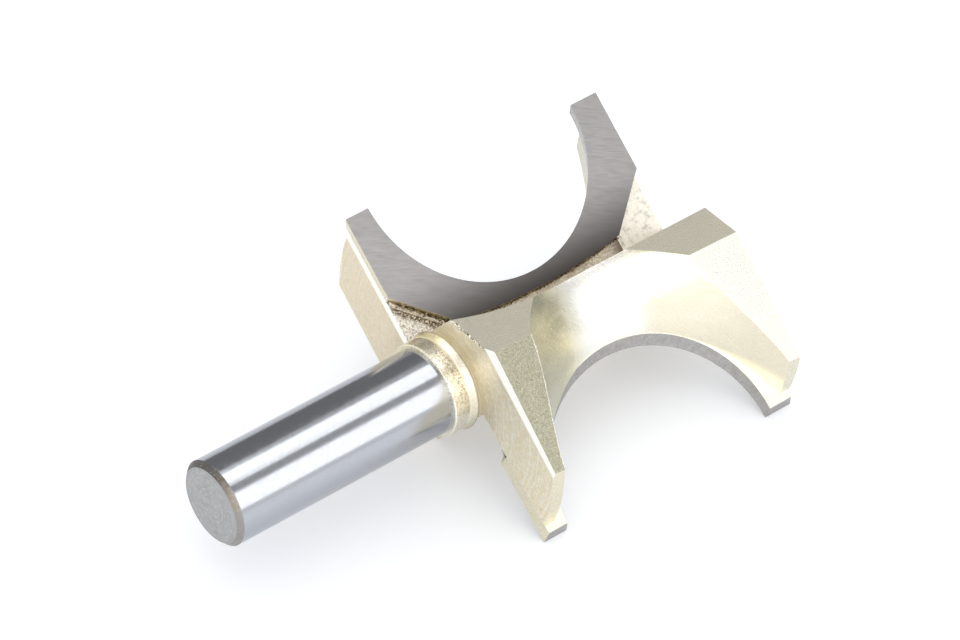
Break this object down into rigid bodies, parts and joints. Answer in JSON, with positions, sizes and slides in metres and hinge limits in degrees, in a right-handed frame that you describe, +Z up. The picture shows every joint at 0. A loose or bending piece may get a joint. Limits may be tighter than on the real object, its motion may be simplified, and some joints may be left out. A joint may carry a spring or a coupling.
{
  "type": "half-round router bit",
  "caption": "Straight-shank router bit whose two wings each carry a brazed carbide blade with a large half-round cutting hollow.",
  "frame": {"origin": "centre of the bounding box's underside, on the surface that the bit lies on", "axes": "+X along the shank's axis, from the shank's free end towards the head; +Y level, on the side of wing A; +Z up"},
  "size_m": [0.0856, 0.0468, 0.0247],
  "materials": {
    "steel_body": "turned steel, head washed pale gold, shank ground bright",
    "carbide": "ground carbide, satin grey",
    "braze": "dull brown braze bead"
  },
  "bodies": {
    "root": {"cutter_body": "steel_body", "blade_a": "carbide", "blade_b": "carbide", "braze_seam_a": "braze", "braze_seam_b": "braze"}
  },
  "joints": []
}
